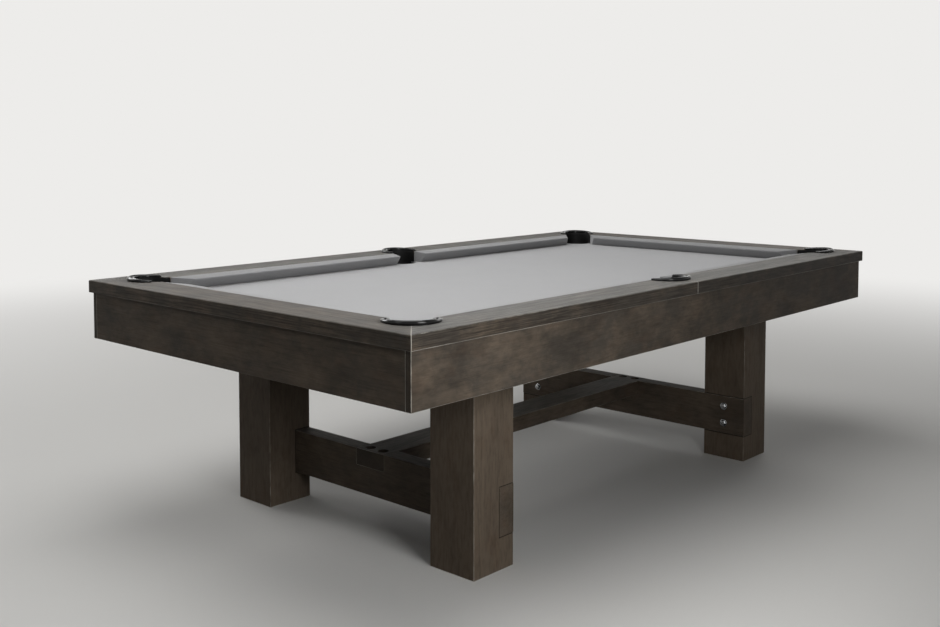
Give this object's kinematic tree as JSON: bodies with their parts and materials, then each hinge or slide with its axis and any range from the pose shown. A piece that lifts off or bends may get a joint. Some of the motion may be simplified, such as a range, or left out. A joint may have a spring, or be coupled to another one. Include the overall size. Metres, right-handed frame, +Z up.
{
  "type": "pool table",
  "caption": "Pool table on square post legs joined by low beams and a stretcher, with mitred wooden rails, cloth-covered slate bed and cushions, and drop pockets.",
  "frame": {"origin": "centre of the floor area under the table, on the floor", "axes": "+X along the length from the head end to the foot end, +Y to the left side, +Z up"},
  "size_m": [2.619, 1.5016, 0.8003],
  "materials": {
    "rail_wood": "weathered charcoal stain, satin lacquer",
    "apron_wood": "weathered charcoal stain, satin lacquer",
    "leg_wood": "weathered charcoal stain, satin lacquer",
    "frame_wood": "bare sawn softwood",
    "slate": "honed",
    "bed_cloth": "napped worsted wool",
    "cushion_cloth": "napped worsted wool",
    "cushion_rubber": "moulded",
    "rim_leather": "glossy black",
    "boot_leather": "black",
    "bright_steel": "bright plated",
    "zinc_steel": "zinc plated",
    "pad_plastic": "moulded"
  },
  "bodies": {
    "table": {"apron_brackets": "zinc_steel", "apron_corner_blocks": "frame_wood", "apron_foot": "apron_wood", "apron_head": "apron_wood", "apron_left": "apron_wood", "apron_right": "apron_wood", "bed_cloth": "bed_cloth", "centre_stretcher": "leg_wood", "corner_pocket_boots": "boot_leather", "cushion_cloth_foot": "cushion_cloth", "cushion_cloth_foot_left": "cushion_cloth", "cushion_cloth_foot_right": "cushion_cloth", "cushion_cloth_head": "cushion_cloth", "cushion_cloth_head_left": "cushion_cloth", "cushion_cloth_head_right": "cushion_cloth", "cushion_rubbers": "cushion_rubber", "feather_strips": "frame_wood", "frame_bolts": "zinc_steel", "frame_cross_beams": "frame_wood", "frame_end_beams": "frame_wood", "frame_side_beam_left": "frame_wood", "frame_side_beam_right": "frame_wood", "leg_beam_bolts": "bright_steel", "leg_beam_foot": "leg_wood", "leg_beam_head": "leg_wood", "leg_beam_washers": "bright_steel", "leg_bolts": "zinc_steel", "leg_foot_left": "leg_wood", "leg_foot_right": "leg_wood", "leg_head_left": "leg_wood", "leg_head_right": "leg_wood", "leveller_nuts": "zinc_steel", "pocket_rim_foot_left": "rim_leather", "pocket_rim_foot_right": "rim_leather", "pocket_rim_head_left": "rim_leather", "pocket_rim_head_right": "rim_leather", "pocket_rim_middle_left": "rim_leather", "pocket_rim_middle_right": "rim_leather", "rail_bolts": "zinc_steel", "rail_foot": "rail_wood", "rail_foot_left": "rail_wood", "rail_foot_right": "rail_wood", "rail_head": "rail_wood", "rail_head_left": "rail_wood", "rail_head_right": "rail_wood", "side_pocket_boots": "boot_leather", "slate_centre": "slate", "slate_foot": "slate", "slate_head": "slate", "slate_liners": "frame_wood", "slate_screws": "zinc_steel", "stretcher_bolts": "zinc_steel"},
    "pad_head_left": {"leveller_pad_head_left": "pad_plastic"},
    "stem_head_left": {"leveller_stem_head_left": "zinc_steel"},
    "pad_head_right": {"leveller_pad_head_right": "pad_plastic"},
    "stem_head_right": {"leveller_stem_head_right": "zinc_steel"},
    "pad_foot_left": {"leveller_pad_foot_left": "pad_plastic"},
    "stem_foot_left": {"leveller_stem_foot_left": "zinc_steel"},
    "pad_foot_right": {"leveller_pad_foot_right": "pad_plastic"},
    "stem_foot_right": {"leveller_stem_foot_right": "zinc_steel"}
  },
  "joints": [
    {"name": "leveller_travel_head_left", "type": "slide", "parent": "table", "child": "pad_head_left", "axis": [0, 0, -1], "range_m": [0, 0.025]},
    {"name": "leveller_turn_head_left", "type": "hinge", "parent": "pad_head_left", "child": "stem_head_left", "pos_m": [-0.779, 0.46455, 0], "axis": [0, 0, -1], "range_deg": [0, 6001]},
    {"name": "leveller_travel_head_right", "type": "slide", "parent": "table", "child": "pad_head_right", "axis": [0, 0, -1], "range_m": [0, 0.025]},
    {"name": "leveller_turn_head_right", "type": "hinge", "parent": "pad_head_right", "child": "stem_head_right", "pos_m": [-0.779, -0.46455, 0], "axis": [0, 0, -1], "range_deg": [0, 6001]},
    {"name": "leveller_travel_foot_left", "type": "slide", "parent": "table", "child": "pad_foot_left", "axis": [0, 0, -1], "range_m": [0, 0.025]},
    {"name": "leveller_turn_foot_left", "type": "hinge", "parent": "pad_foot_left", "child": "stem_foot_left", "pos_m": [0.779, 0.46455, 0], "axis": [0, 0, -1], "range_deg": [0, 6001]},
    {"name": "leveller_travel_foot_right", "type": "slide", "parent": "table", "child": "pad_foot_right", "axis": [0, 0, -1], "range_m": [0, 0.025]},
    {"name": "leveller_turn_foot_right", "type": "hinge", "parent": "pad_foot_right", "child": "stem_foot_right", "pos_m": [0.779, -0.46455, 0], "axis": [0, 0, -1], "range_deg": [0, 6001]}
  ],
  "couplings": [
    {"joint": "leveller_turn_head_left", "follows": "leveller_travel_head_left", "rad_per_m": 4188.8},
    {"joint": "leveller_turn_head_right", "follows": "leveller_travel_head_right", "rad_per_m": 4188.8},
    {"joint": "leveller_turn_foot_left", "follows": "leveller_travel_foot_left", "rad_per_m": 4188.8},
    {"joint": "leveller_turn_foot_right", "follows": "leveller_travel_foot_right", "rad_per_m": 4188.8}
  ]
}
